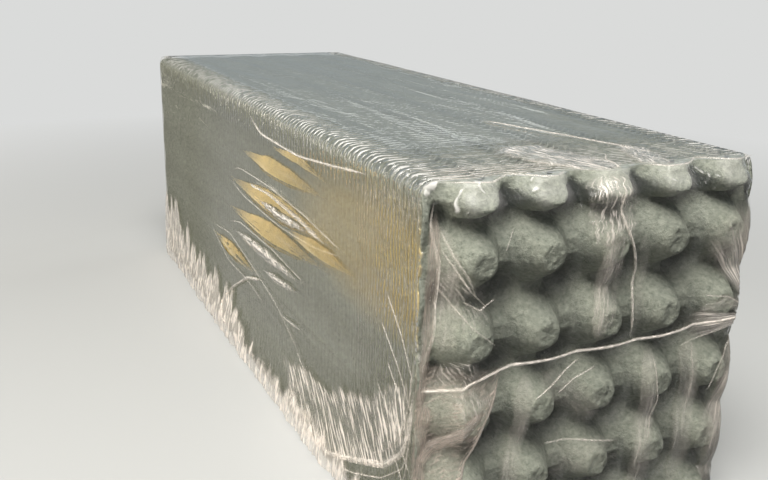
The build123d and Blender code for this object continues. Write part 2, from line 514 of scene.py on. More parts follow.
def film_pleats(tree, form, where, axes, to_edge, behind_rim):
    """Fine pleats: the film is drawn tight over each tray's edge, so a crest comes every nest pitch.

    Gives the pleats' height, and how near a place is to the two upper long edges.
    """
    wander = add_node(tree, "TexNoise", {"Vector": where, "Scale": 26, "Detail": 3})
    shifted = add_node(tree, "Math", {0: wander, 1: 9.0 * MM, 2: axes["Y"]}, operation="MULTIPLY_ADD")
    # they show along the two upper long edges, and finer for a hand's width from the front
    corner = form.half_width + form.z1
    edge_mask = add_node(
        tree, "MapRange", {"Value": to_edge, 1: corner - 34 * MM, 2: corner - 12 * MM, 3: 0.04, 4: 1.0}
    )
    front_mask = add_node(
        tree,
        "MapRange",
        {"Value": axes["Y"], 1: form.rim_y + 20 * MM, 2: form.rim_y + 120 * MM, 3: 0.9, 4: 0.0},
    )
    runs = []
    for pitch, mask in ((form.sizes.nest_pitch, edge_mask), (form.sizes.pleat_pitch, front_mask)):
        turned = add_node(tree, "Math", {0: shifted, 1: math.pi / pitch}, operation="MULTIPLY")
        swing = add_node(tree, "Math", {0: turned}, operation="SINE")
        folded = add_node(tree, "Math", {0: swing}, operation="ABSOLUTE")
        crests = add_node(tree, "Math", {0: 1.0, 1: folded}, operation="SUBTRACT")
        runs.append(add_node(tree, "Math", {0: crests, 1: mask}, operation="MULTIPLY"))
    both = add_node(tree, "Math", {0: runs[0], 1: runs[1]}, operation="MAXIMUM")
    # some are strong and some all but pulled out, in patches about 10 mm across
    uneven = add_node(tree, "TexNoise", {"Vector": where, "Scale": 95, "Detail": 2, "Roughness": 0.6})
    strength = add_node(tree, "MapRange", {"Value": uneven, 1: 0.36, 2: 0.6, 3: 0.25, 4: 1.3})
    patchwork = add_node(tree, "Math", {0: strength, 1: behind_rim}, operation="MULTIPLY")
    pleats = add_node(tree, "Math", {0: both, 1: patchwork}, operation="MULTIPLY")
    return pleats, edge_mask


def film_crumple(tree, form, where, axes, edge_mask, behind_rim):
    """Crumpled film at the foot of the sides, along the upper edges and on the front's upper lip.

    Gives the crumple's height, and how near a place is to the lip.
    """
    hem_mask = add_node(tree, "MapRange", {"Value": axes["Z"], 1: 30 * MM, 2: 62 * MM, 3: 1.0, 4: 0.0})
    # knife-sharp creases about 12 mm apart
    crumple = add_node(
        tree,
        "TexNoise",
        {"Vector": where, "Scale": 85, "Detail": 4, "Roughness": 0.62, "Distortion": 1.5},
        noise_type="RIDGED_MULTIFRACTAL",
    )
    some = add_node(tree, "Math", {0: edge_mask, 1: 0.32}, operation="MULTIPLY")
    by_edges = add_node(tree, "Math", {0: hem_mask, 1: some}, operation="MAXIMUM")
    at_front = add_node(tree, "Math", {0: 1.0, 1: behind_rim}, operation="SUBTRACT")
    up_there = add_node(
        tree,
        "MapRange",
        {"Value": axes["Z"], 1: form.z1 - 40 * MM, 2: form.z1 - 14 * MM, 3: 0.0, 4: 0.95},
    )
    on_lip = add_node(tree, "Math", {0: at_front, 1: up_there}, operation="MULTIPLY")
    reach = add_node(tree, "Math", {0: by_edges, 1: on_lip}, operation="MAXIMUM")
    crumpled = add_node(tree, "Math", {0: crumple, 1: reach}, operation="MULTIPLY")
    return crumpled, on_lip


def film_relief(tree, where, pleats, crumpled):
    """Normal of the film: soft folds along the bundle, creases, pleats and crumples."""
    # soft folds about 30 mm apart across the bundle and six times as long
    long_way = add_node(tree, "Mapping", {"Vector": where, "Scale": (1.0, 0.16, 1.0)})
    folds = add_node(
        tree,
        "TexNoise",
        {"Vector": long_way, "Scale": 32, "Detail": 2, "Roughness": 0.5, "Distortion": 0.6},
    )
    # sharp creases 10 to 20 mm apart, with finer ones between
    creases = add_node(
        tree,
        "TexNoise",
        {"Vector": long_way, "Scale": 75, "Detail": 3, "Roughness": 0.6, "Distortion": 1.2},
        noise_type="RIDGED_MULTIFRACTAL",
    )
    normal = None
    for height, height_mm in ((folds, 2.6), (creases, 0.35), (pleats, 2.6), (crumpled, 1.5)):
        sockets = {"Height": height, "Strength": 1.0, "Distance": height_mm * MM}
        if normal:
            sockets["Normal"] = normal
        normal = add_node(tree, "Bump", sockets)
    return normal


def film_milk(tree, form, axes, off_middle, drawn):
    """How milky the film is: where it is creased, on the long sides, and over the cut bumps as a
    painted highlight.
    """
    patchy = add_node(tree, "MapRange", {"Value": drawn, 1: 0.3, 2: 0.68, 3: 0.006, 4: 0.8})
    veil = add_node(
        tree,
        "MapRange",
        {"Value": off_middle, 1: form.half_width - 1 * MM, 2: form.half_width, 3: 0.0, 4: 0.34},
    )
    # painted highlight: a milky band over the cut bumps of the top row stands in for the film's glare
    # there
    across = add_node(
        tree, "Math", {0: axes["X"], 1: 2 * math.pi / form.sizes.column_pitch}, operation="MULTIPLY"
    )
    beat = add_node(tree, "Math", {0: across}, operation="COSINE")
    on_bump = add_node(tree, "MapRange", {"Value": beat, 1: -0.35, 2: 0.5, 3: 0.0, 4: 1.0})
    near_top = add_node(
        tree,
        "MapRange",
        {"Value": axes["Z"], 1: form.z1 - 24 * MM, 2: form.z1 - 10 * MM, 3: 0.0, 4: 0.15},
    )
    in_front = add_node(
        tree,
        "MapRange",
        {"Value": axes["Y"], 1: form.rim_y - 8 * MM, 2: form.rim_y - 14 * MM, 3: 0.0, 4: 1.0},
    )
    painted_glare_band = add_node(tree, "Math", {0: on_bump, 1: near_top}, operation="MULTIPLY")
    lip = add_node(tree, "Math", {0: painted_glare_band, 1: in_front}, operation="MULTIPLY")
    more = add_node(tree, "Math", {0: lip, 1: veil}, operation="ADD")
    return add_node(tree, "Math", {0: patchy, 1: more}, operation="ADD", use_clamp=True)


def film_tint(tree, form, where, axes, off_middle):
    """Colour of the film's haze: warmer on the long sides, with a painted gold reflection in one oval.
    """
    colours = bpy.context.scene.tray_bundle_colours
    warmth = add_node(
        tree,
        "MapRange",
        {"Value": off_middle, 1: form.half_width - 3 * MM, 2: form.half_width, 3: 0.0, 4: 1.0},
    )
    tint = add_node(
        tree,
        "Mix",
        {0: warmth, 6: rgba(colours.film_haze), 7: rgba(colours.side_haze)},
        data_type="RGBA",
    )
    # painted reflection: a gold reflection is painted into the haze on the left at mid height, by the
    # front corner: about 290 mm long and 95 mm high
    centre = (0, 330 * MM, -222 * MM)
    stretch = (0, 5.9, 18.0)
    from_centre = add_node(tree, "VectorMath", {0: where, 1: centre}, operation="ADD")
    oval = add_node(tree, "VectorMath", {0: from_centre, 1: stretch}, operation="MULTIPLY")
    reach = add_node(tree, "VectorMath", {0: oval}, operation="LENGTH")
    painted_gold_reflection = add_node(
        tree, "MapRange", {"Value": reach.outputs["Value"], 1: 0.6, 2: 1.1, 3: 0.85, 4: 0.0}
    )
    left_side = add_node(
        tree,
        "MapRange",
        {"Value": axes["X"], 1: 3 * MM - form.half_width, 2: -form.half_width, 3: 0.0, 4: 1.0},
    )
    on_side = add_node(tree, "Math", {0: painted_gold_reflection, 1: left_side}, operation="MULTIPLY")
    return add_node(
        tree, "Mix", {0: on_side, 6: tint.outputs[2], 7: rgba(colours.painted_gold_reflection)}, data_type="RGBA"
    ).outputs[2]


def film_mirror(tree, form, axes, normal):
    """How much the film mirrors: more at a glance, and less at the far end of the left side."""
    edge_on = add_node(tree, "Fresnel", {"Normal": normal, "IOR": 1.36})
    # both faces of the film reflect, so the share is more than that of one face
    share = add_node(tree, "Math", {0: edge_on, 1: 1.3}, operation="MULTIPLY", use_clamp=True)
    # the far end of the left side is hazier
    leftmost = add_node(
        tree,
        "MapRange",
        {"Value": axes["X"], 1: 30 * MM - form.half_width, 2: 8 * MM - form.half_width, 3: 1.0, 4: 0.2},
    )
    far_end = add_node(
        tree, "MapRange", {"Value": axes["Y"], 1: 60 * MM, 2: 230 * MM, 3: 1.0, 4: leftmost}
    )
    return add_node(tree, "Math", {0: share, 1: far_end}, operation="MULTIPLY")


def film_surface(tree, normal, clear, milky, haze, mirror, shine, rough):
    """Ends a film's material: clear, milky by milky's share and glossy by mirror's."""
    see_through = add_node(tree, "BsdfTransparent", {"Color": clear})
    milk = add_node(tree, "BsdfDiffuse", {"Normal": normal, "Color": haze})
    body = add_node(tree, "MixShader", {0: milky, 1: see_through, 2: milk})
    gloss = add_node(tree, "BsdfGlossy", {"Normal": normal, "Color": shine, "Roughness": rough})
    surface = add_node(tree, "MixShader", {0: mirror, 1: body, 2: gloss})
    # lamps shine through the film on to the pulp
    rays = add_node(tree, "LightPath")
    open_sky = add_node(tree, "BsdfTransparent", {"Color": (0.95, 0.95, 0.94, 1)})
    lit = add_node(tree, "MixShader", {0: rays.outputs["Is Shadow Ray"], 1: surface, 2: open_sky})
    add_node(tree, "OutputMaterial", {"Surface": lit})


def clear_film():
    """Polyethylene film, blown and shrunk: clear and glossy, milky where it is creased or double."""
    material, tree = new_material("polyethylene_film_shrunk")
    if tree is None:
        return material
    form = Form()
    where = add_node(tree, "TexCoord").outputs["Object"]
    axes = add_node(tree, "SeparateXYZ", {"Vector": where}).outputs
    off_middle = add_node(tree, "Math", {0: axes["X"]}, operation="ABSOLUTE")
    to_edge = add_node(tree, "Math", {0: off_middle, 1: axes["Z"]}, operation="ADD")
    behind_rim = add_node(
        tree, "Math", {0: axes["Y"], 1: form.rim_y - 2 * MM}, operation="GREATER_THAN"
    )
    pleats, edge_mask = film_pleats(tree, form, where, axes, to_edge, behind_rim)
    crumpled, on_lip = film_crumple(tree, form, where, axes, edge_mask, behind_rim)
    normal = film_relief(tree, where, pleats, crumpled)
    drawn = add_node(tree, "Math", {0: pleats, 1: crumpled}, operation="ADD")
    milky = film_milk(tree, form, axes, off_middle, drawn)
    haze = film_tint(tree, form, where, axes, off_middle)
    mirror = film_mirror(tree, form, axes, normal)
    # smooth and bright, but scuffed dull over the cut bumps
    dull = add_node(tree, "MapRange", {"Value": on_lip, 3: 0.09, 4: 0.46})
    clear = (0.98, 0.98, 0.975, 1)
    film_surface(tree, normal, clear, milky, haze, mirror, rgba(UNTINTED), dull)
    return material


def gathered_film(
    name, across, along, low, high, relief_mm, rough=0.14, soft=0.18, slant=0, haze=None, shine=UNTINTED
):
    """Polyethylene film drawn into fine creases that run along a piece, milky on their crests.

    across and along count the creases over the piece's width and their breaks along its length,
    low and high say how milky it is between the creases and on them, and soft how slowly one turns
    into the other.
    """
    material, tree = new_material(name)
    if tree is None:
        return material
    colours = bpy.context.scene.tray_bundle_colours
    where = add_node(tree, "UVMap", uv_map="UVMap")
    turned = add_node(tree, "Mapping", {"Vector": where, "Rotation": (0, 0, slant)})
    spread = add_node(tree, "Mapping", {"Vector": turned, "Scale": (along, across, 1.0)})
    creases = add_node(
        tree,
        "TexNoise",
        {"Vector": spread, "Scale": 1.0, "Detail": 3, "Roughness": 0.6, "Distortion": 0.35},
    )
    crest = 0.48
    crests = add_node(tree, "MapRange", {"Value": creases, 1: crest, 2: crest + soft, 3: low, 4: high})
    share = add_node(tree, "Attribute", attribute_name="milk").outputs["Fac"]
    milky = add_node(tree, "Math", {0: crests, 1: share}, operation="MULTIPLY", use_clamp=True)
    normal = add_node(tree, "Bump", {"Height": creases, "Strength": 1.0, "Distance": relief_mm * MM})
    edge_on = add_node(tree, "Fresnel", {"Normal": normal, "IOR": 1.4})
    fading = add_node(tree, "Math", {0: edge_on, 1: share}, operation="MULTIPLY", use_clamp=True)
    clear = (0.99, 0.99, 0.985, 1)
    milk = rgba(haze or colours.fold_haze)
    film_surface(tree, normal, clear, milky, milk, fading, rgba(shine), rough)
    return material


def tray_piece(form, name, rim_y, node):
    """One whole tray: a fine relief with its pulp wall behind it."""
    cells, craggy_from = 192, 0.8
    half_height = (form.z1 - form.z0) / 2

    def place(u, v):
        s_x = (u * 2 - 1) * form.half_width
        s_z = form.z0 + v * (form.z1 - form.z0)
        # the square grid's corners are pulled in to the tray's round ones
        r = form.sizes.corner_radius
        over_x = np.abs(s_x) - (form.half_width - r)
        over_z = np.abs(s_z - form.mid_z) - (half_height - r)
        corner = (over_x > 0) & (over_z > 0)
        reach = np.hypot(over_x, over_z)
        shrink = np.where(corner, np.maximum(over_x, over_z) / np.maximum(reach, 1e-9), 1.0)
        x = np.where(corner, np.sign(s_x) * (form.half_width - r + over_x * shrink), s_x)
        dz = np.sign(s_z - form.mid_z) * (half_height - r + over_z * shrink)
        z = np.where(corner, form.mid_z + dz, s_z)
        relief = tray_relief(form, x, z)
        lumps = 0.6 * MM * layered_noise(x / (8 * MM), z / (8 * MM), 5)
        # the tips are craggy
        tips = np.clip((relief / form.sizes.bump_height - craggy_from) / (1 - craggy_from), 0, 1)
        lumps = lumps + 1.3 * MM * tips * layered_noise(x / (4.2 * MM), z / (4.2 * MM), 13)
        return np.stack([x, rim_y - relief + lumps, z], 1)

    bm = bmesh.new()
    grid_mesh(bm, cells, cells, place)
    bmesh.ops.recalc_face_normals(bm, faces=bm.faces)
    if sum(f.normal.y for f in bm.faces) > 0:
        bmesh.ops.reverse_faces(bm, faces=bm.faces)
    bmesh.ops.solidify(bm, geom=bm.faces, thickness=form.sizes.pulp_thickness)
    piece = finish_piece(bm, name, pulp_material())
    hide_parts(node)


class BUNDLE_OT_front_tray(bpy.types.Operator):
    """Front tray with its bumps, ridges and hollows"""

    bl_idname = "bundle.front_tray"
    bl_label = "Front tray"

    def execute(self, context):
        form = Form()
        tray_piece(form, "front_pulp_tray", form.rim_y, "front_tray")
        return {"FINISHED"}


class BUNDLE_OT_back_tray(bpy.types.Operator):
    """Back tray, seen from behind"""

    bl_idname = "bundle.back_tray"
    bl_label = "Back tray"

    def execute(self, context):
        form = Form()
        tray_piece(form, "back_pulp_tray", form.back_rim_y, "back_tray")
        return {"FINISHED"}


class BUNDLE_OT_nested_trays(bpy.types.Operator):
    """Edges of the trays between the ends, one ragged wavy edge for each tray"""

    bl_idname = "bundle.nested_trays"
    bl_label = "Nested trays"

    def execute(self, context):
        form = Form()
        s = form.sizes
        nodes = sorted(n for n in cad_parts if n.startswith("nested_tray_rims_"))
        between = s.tray_count - 2
        per_group = math.ceil(between / len(nodes))
        for g, node in enumerate(nodes):
            bm = bmesh.new()
            for k in range(g * per_group + 1, min((g + 1) * per_group, between) + 1):
                self.edge(bm, form, k)
            name = f"pulp_tray_edges_{g + 1}"
            piece = finish_piece(bm, name, pulp_material(), weld=0)
            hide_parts(node)
        return {"FINISHED"}

    def edge(self, bm, form, k):
        s = form.sizes
        count, rim_band, rim_inset = 232, 4.0 * MM, 3 * MM
        jitter = 0.8 * MM * lattice(np.array([k * 1.0]), np.array([3.0]), 7)[0]

        def place(u, v):
            # v runs round the section: front inner, front outer, back outer, back inner
            inward = np.where((v < 0.2) | (v > 0.8), rim_band, 0.0)
            behind = np.where(v > 0.5, s.pulp_thickness, 0.0)
            ragged = 0.25 * MM * layered_noise(u * 190, v * 0 + k * 7.3, 11)
            x, z, nx, nz = ring_point(form, u, 0.0)
            relief = tray_relief(form, x - nx * rim_inset, z - nz * rim_inset)
            wave = 0.7 * MM * layered_noise(u * 26, v * 0 + k * 3.1, 23)
            y = form.rim_y + k * s.nest_pitch - relief + behind + wave + jitter
            shift = ragged - 0.25 * MM - inward
            return np.stack([x + nx * shift, y, z + nz * shift], 1)

        before = len(bm.verts)
        grid_mesh(bm, count, 3, place)
        bmesh.ops.remove_doubles(bm, verts=bm.verts[before:], dist=2e-6)


class BUNDLE_OT_cells(bpy.types.Operator):
    """Hidden cells of the nested trays"""

    bl_idname = "bundle.cells"
    bl_label = "Hidden cells"

    def execute(self, context):
        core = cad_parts["nested_tray_cells"]
        core.data.materials.clear()
        core.data.materials.append(pulp_material())
        return {"FINISHED"}


def hem_profile(y):
    """How much of the hem's bulge shows at each place along the bundle: least at the ends."""
    least, more, lead = 0.35, 0.85, 1.15
    t = (y + HEM_HALF_LENGTH) / (2 * HEM_HALF_LENGTH)
    return np.clip(least + more * np.sin(np.pi * np.clip(t * lead, 0, 1)), 0, 1)


def film_skin(form, s, v):
    """Point of the film for s round the bundle and v along it."""
    gap, end_share, top_fold, side_fold = 0.7 * MM, 0.012, 0.9 * MM, 0.3 * MM
    x, z, nx, nz = ring_point(form, s, gap)
    y_front = form.rim_y - film_front(form, x, np.clip(z, form.z0, form.z1))
    y_back = form.back_rim_y + film_back(form, x, z)
    y = y_front + (y_back - y_front) * v
    inner = smooth(np.minimum(v, 1 - v) / end_share)
    side = np.abs(nx)
    up = nz > 0.5
    top_folds = top_fold * np.clip(layered_noise(x / (34 * MM), y / (260 * MM), 41), 0, 1) * up
    # the sides' folds start below the pleated edge and fade out towards the far end
    below_edge, fade_end, fade = 25 * MM, 210 * MM, 140 * MM
    start = smooth((form.z1 - below_edge - z) / (35 * MM))
    waves = np.clip(layered_noise(z / (30 * MM) + y * 4, y / (150 * MM), 47), 0, 1)
    side_folds = side_fold * waves * side * start * smooth((fade_end - y) / fade)
    lift = np.maximum(0.0, top_folds + side_folds + hem_lift(form, y, z) * side) * inner
    return np.stack([x + nx * lift, y, z + np.where(nz > 0, nz, 0) * lift], 1)


class BUNDLE_OT_film(bpy.types.Operator):
    """Shrink film all round the bundle"""

    bl_idname = "bundle.film"
    bl_label = "Shrink film"

    def execute(self, context):
        form = Form()
        around, along, inward, outermost = 256, 270, 38, 0.9999
        bm = bmesh.new()
        grid_mesh(bm, around, along, lambda u, v: film_skin(form, u, v))

        def cap(u, v, end):
            rim = film_skin(form, u, np.full_like(u, end))
            x = rim[:, 0] * v
            z = form.mid_z + (rim[:, 2] - form.mid_z) * v
            if end:
                y = form.back_rim_y + film_back(form, x, z)
            else:
                y = form.rim_y - film_front(form, x, np.clip(z, form.z0, form.z1))
            return np.stack([x, np.where(v > outermost, rim[:, 1], y), z], 1)

        for end in (0.0, 1.0):
            grid_mesh(bm, around, inward, lambda u, v: cap(u, v, end))
        piece = finish_piece(bm, "shrink_film_wrap", clear_film(), weld=8e-6)
        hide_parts("shrink_film")
        return {"FINISHED"}


def on_front(form, x, z, lift):
    y = form.rim_y - film_front(form, x, np.clip(z, form.z0, form.z1)) - lift
    return np.stack([x, y, z], 1)


def on_back(form, x, z, lift):
    y = form.back_rim_y + film_back(form, x, z) + lift
    return np.stack([x, y, z], 1)


def hem_lift(form, y, z):
    """How far the film's crumpled foot stands out from the long sides."""
    hem_height, end_fade = 62 * MM, 34 * MM
    height = smooth(1 - np.clip(z / hem_height, 0, 1))
    crumple = 2.4 * MM * layered_noise(y / (17 * MM), z / (30 * MM), 53)
    ends = smooth(np.minimum(y - form.rim_y, form.back_rim_y + 12 * MM - y) / end_fade)
    return np.maximum(0.0, (form.sizes.hem_bulge * hem_profile(y) + crumple) * height * ends)


def side_skin(form, y, z, side, lift):
    x = form.half_width + SIDE_GAP + hem_lift(form, y, z) + lift
    return np.stack([side * x, y, z], 1)


def on_left(form, y, z, lift):
    return side_skin(form, y, z, -1, lift)


def on_right(form, y, z, lift):
    return side_skin(form, y, z, 1, lift)


def on_top(form, x, y, lift):
    return np.stack([x, y, np.full_like(x, form.z1 + TOP_GAP) + lift], 1)


def on(face, form, base_mm=0.0):
    """A face of the film as a function of a place on it and a lift, which starts at base_mm."""
    return lambda a, b, lift: face(form, a, b, lift + base_mm * MM)


def along_path(points, t):
    """Smooth point and unit normal on a path of (a, b) pairs in millimetres, for t from 0 to 1."""
    samples, window = 200, 31
    p = np.array(points, float) * MM
    d = np.concatenate([[0], np.cumsum(np.hypot(*np.diff(p, axis=0).T))])
    fine = np.linspace(0, 1, samples)
    kernel = np.hanning(window) / np.hanning(window).sum()
    place, slope = [], []
    for axis in (0, 1):
        line = np.interp(fine, d / d[-1], p[:, axis])
        padded = np.pad(line, window // 2, mode="reflect", reflect_type="odd")
        line = np.convolve(padded, kernel, "valid")
        place.append(np.interp(t, fine, line))
        slope.append(np.interp(t, fine, np.gradient(line)))
    n = np.hypot(*slope) + 1e-12
    return place[0], place[1], -slope[1] / n, slope[0] / n


def fold_strip(
    bm, points, width_mm, height_mm, surface, milk=1.0, segments=90, ends=0.15, crest=0.5, edge=0.5
):
    """A raised fold of film along a path on one of the film's faces, fading out at its sides.

    ends is the share of the length over which it tapers, crest says where across its width it
    stands highest, and edge over how much of the width it fades.
    """
    rows, blunt, clearance = 14, 0.15, 0.3 * MM

    def place(u, v):
        a, b, na, nb = along_path(points, u)
        taper = smooth(np.minimum(u, 1 - u) / ends) * (1 - blunt) + blunt
        ragged = 1 + 0.25 * layered_noise(u * 11 + width_mm, u * 0, 83)
        off = (v - 0.5) * width_mm * MM * taper * ragged
        rise = np.minimum(v / crest, (1 - v) / (1 - crest))
        profile = rise if crest > 0.5 else rise * (2 - rise)
        return surface(a + na * off, b + nb * off, height_mm * MM * taper * profile + clearance)

    def fade(u, v):
        across = smooth((1 - np.abs(2 * v - 1)) / edge)
        return milk * across * smooth(np.minimum(u, 1 - u) / (ends * 0.8))

    grid_mesh(bm, segments, rows, place, fade)


def web(bm, start, stop, surface, lift_mm, milk, across=160, along=24):
    """A sheet of gathered film between two paths; its creases run from the one to the other."""
    rest, ripples, clearance_mm = 0.6, 0.4, 0.4

    def place(u, v):
        a0, b0, _, _ = along_path(start, v)
        a1, b1, _, _ = along_path(stop, v)
        a, b = a0 + (a1 - a0) * u, b0 + (b1 - b0) * u
        ripple = layered_noise(v * across / 5, u * 3, 61)
        return surface(a, b, (lift_mm * (rest + ripples * ripple) + clearance_mm) * MM)

    grid_mesh(bm, along, across, place, milk)


class BUNDLE_OT_seam(bpy.types.Operator):
    """Welded seam across the front"""

    bl_idname = "bundle.seam"
    bl_label = "Welded seam"

    # across and up, in millimetres, on the front film
    seam_line = [
        *((-146, 141), (-138, 140), (-124, 149), (-95, 160), (-58, 161)),
        *((-9, 162), (37, 162), (86, 166), (124, 167), (146, 168)),
    ]

    def execute(self, context):
        form = Form()
        bm = film_bmesh()
        width_mm, height_mm = 3.4, 1.9
        fold_strip(bm, self.seam_line, width_mm, height_mm, on(on_front, form), segments=160, ends=0.02)
        welded = gathered_film("polyethylene_film_welded", 3, 60, 0.45, 1.0, 0.9)
        finish_piece(bm, "film_seam", welded)
        return {"FINISHED"}


class BUNDLE_OT_folds(bpy.types.Operator):
    """Gathered folds, creases, webs and the doubled flap of the film"""

    bl_idname = "bundle.folds"
    bl_label = "Film folds"

    # each path is in millimetres on its face, with the fold's width, height and milkiness
    front_cords = [
        (
            [(-139, 284), (-141, 262), (-137, 240), (-136, 215), (-138, 185), (-143, 158), (-145, 125)],
            *(2.6, 1.4, 0.9),
        ),
        ([(-136, 262), (-130, 244), (-122, 228), (-116, 215)], 1.6, 0.8, 0.6),
        ([(5, 288), (0, 278), (0, 263), (12, 239), (18, 220), (18, 190), (20, 163)], 3.2, 1.8, 1.0),
        ([(-66, 130), (-22, 156)], 1.8, 1.0, 0.9),
        ([(-46, 132), (-8, 148)], 1.6, 1.0, 0.8),
        ([(-54, 92), (-30, 90), (19, 80)], 2.2, 1.0, 0.7),
        ([(-88, 262), (-96, 246)], 1.2, 0.6, 0.7),
        ([(144, 168), (120, 200), (104, 240)], 1.6, 0.8, 0.7),
        ([(144, 168), (126, 214), (119, 252)], 1.4, 0.8, 0.6),
        ([(144, 168), (112, 186), (86, 190)], 1.6, 0.9, 0.9),
        ([(144, 166), (118, 142), (102, 104)], 1.6, 0.8, 0.8),
        ([(144, 166), (130, 120), (124, 60)], 1.8, 0.8, 0.8),
        ([(144, 166), (100, 156), (70, 148)], 1.6, 0.8, 0.8),
        ([(-137, 250), (-122, 222), (-104, 205)], 1.3, 0.7, 0.8),
        ([(-140, 226), (-120, 196), (-98, 178)], 1.3, 0.7, 0.8),
        ([(-126, 214), (-112, 206), (-100, 214)], 2.0, 1.0, 0.8),
        ([(44, 150), (52, 110), (46, 70)], 1.6, 0.9, 0.8),
        ([(84, 156), (88, 118), (86, 92)], 1.4, 0.8, 0.7),
    ]
    front_veils = [
        ([(-138, 268), (-132, 240), (-131, 205), (-134, 170)], 13, 1.5, 0.6),
        ([(-8, 262), (-8, 235), (-11, 200), (-12, 166)], 15, 1.2, 0.9),
        ([(22, 250), (26, 225), (24, 166)], 12, 1.0, 0.4),
        ([(126, 262), (124, 236), (128, 210), (140, 172)], 22, 1.6, 1.0),
        ([(140, 162), (124, 130), (121, 77), (116, 14)], 26, 1.6, 1.1),
        ([(142, 172), (112, 182), (84, 176)], 14, 1.2, 0.9),
        ([(-60, 150), (-30, 128), (-6, 104)], 26, 1.2, 0.45),
        ([(-18, 90), (-18, 60)], 70, 1.0, 0.35),
        ([(40, 158), (44, 100), (40, 20)], 20, 1.2, 1.0),
        ([(78, 160), (84, 100), (80, 24)], 24, 1.2, 0.9),
        ([(-70, 156), (-74, 110), (-86, 40)], 18, 1.2, 0.8),
    ]
    # film crushed together where it turns over the edge in the middle
    front_crush = [
        ([(-10, 292), (-6, 262), (-4, 238)], 44, 1.5, 1.0),
        ([(-4, 250), (-6, 215), (-10, 170)], 24, 1.4, 0.6),
        ([(-134, 168), (-118, 150), (-108, 122)], 34, 3.2, 0.6),
        ([(-138, 232), (-122, 214), (-112, 190)], 26, 1.4, 0.35),
    ]
    top_crush = [
        ([(-34, -322), (-14, -380), (0, -426)], 58, 1.6, 1.3),
        ([(66, -352), (40, -424)], 30, 1.4, 1.1),
    ]
    # pleats spread from the right end of the seam, up, down and back along it
    fan_root = [(139, 169), (142, 166)]
    front_fans = [
        [(74, 232), (96, 262), (120, 270), (136, 262)],
        [(138, 30), (124, 26), (104, 40), (88, 66)],
        [(70, 182), (60, 166), (72, 146)],
    ]
    # the back end is drawn in from its corners and closed by a weld
    back_veils = [
        ([(-144, 150), (-60, 146), (40, 154), (144, 150)], 4, 1.6, 1.4),
        ([(-140, 284), (-100, 230), (-84, 160)], 20, 1.6, 0.9),
        ([(-90, 288), (-70, 220), (-40, 160)], 14, 1.4, 0.7),
        ([(60, 286), (52, 230), (20, 160)], 16, 1.4, 0.8),
        ([(140, 282), (110, 230), (96, 158)], 24, 1.6, 0.9),
        ([(-140, 8), (-112, 60), (-96, 142)], 24, 1.6, 0.9),
        ([(-30, 6), (-20, 70), (-24, 144)], 14, 1.4, 0.7),
        ([(72, 6), (70, 80), (60, 146)], 18, 1.4, 0.8),
        ([(141, 12), (120, 70), (116, 144)], 20, 1.6, 0.9),
    ]
    # on the left side, along the bundle and up
    left_cords = [
        ([(-16, 283), (-65, 265), (-175, 264), (-247, 271), (-335, 281)], 3.2, 1.6, 1.0),
        ([(60, 198), (20, 214), (-90, 217), (-190, 213), (-290, 204)], 1.6, 0.9, 0.8),
        ([(66, 196), (0, 186), (-120, 184), (-210, 190), (-286, 202)], 1.5, 0.9, 0.8),
        ([(-20, 206), (-100, 212), (-200, 208), (-246, 200)], 1.2, 6.0, 0.7),
        ([(72, 140), (20, 152), (-90, 154), (-200, 148)], 1.5, 0.9, 0.8),
        ([(150, 118), (60, 128), (-40, 112), (-110, 98), (-190, 66)], 1.5, 0.9, 0.7),
        ([(150, 116), (70, 92), (-10, 92), (-70, 84)], 1.5, 0.9, 0.6),
        ([(-63, 110), (-9, 96), (54, 64), (92, 36), (85, 18), (42, 12)], 5.0, 2.4, 1.0),
        ([(-358, 204), (-388, 176), (-409, 146)], 1.5, 0.9, 0.9),
        ([(-350, 178), (-384, 150), (-409, 120)], 1.4, 0.9, 0.8),
        ([(-362, 150), (-390, 126), (-409, 98)], 1.4, 0.9, 0.9),
        ([(-344, 126), (-380, 100), (-409, 72)], 1.4, 0.9, 0.8),
        ([(-352, 98), (-382, 76), (-408, 48)], 1.4, 0.9, 0.9),
        (
            [(-409, 152), (-407, 120), (-397, 88), (-365, 60), (-320, 40), (-284, 24), (-244, 10)],
            *(7.5, 2.4, 0.95),
        ),
        ([(-408, 170), (-404, 132), (-392, 98), (-362, 70), (-330, 52)], 1.8, 1.8, 0.9),
        ([(-408, 104), (-396, 74), (-360, 46), (-316, 26), (-280, 14)], 2.0, 1.6, 0.9),
        ([(-409, 130), (-400, 70), (-370, 30)], 1.8, 1.4, 0.8),
    ]
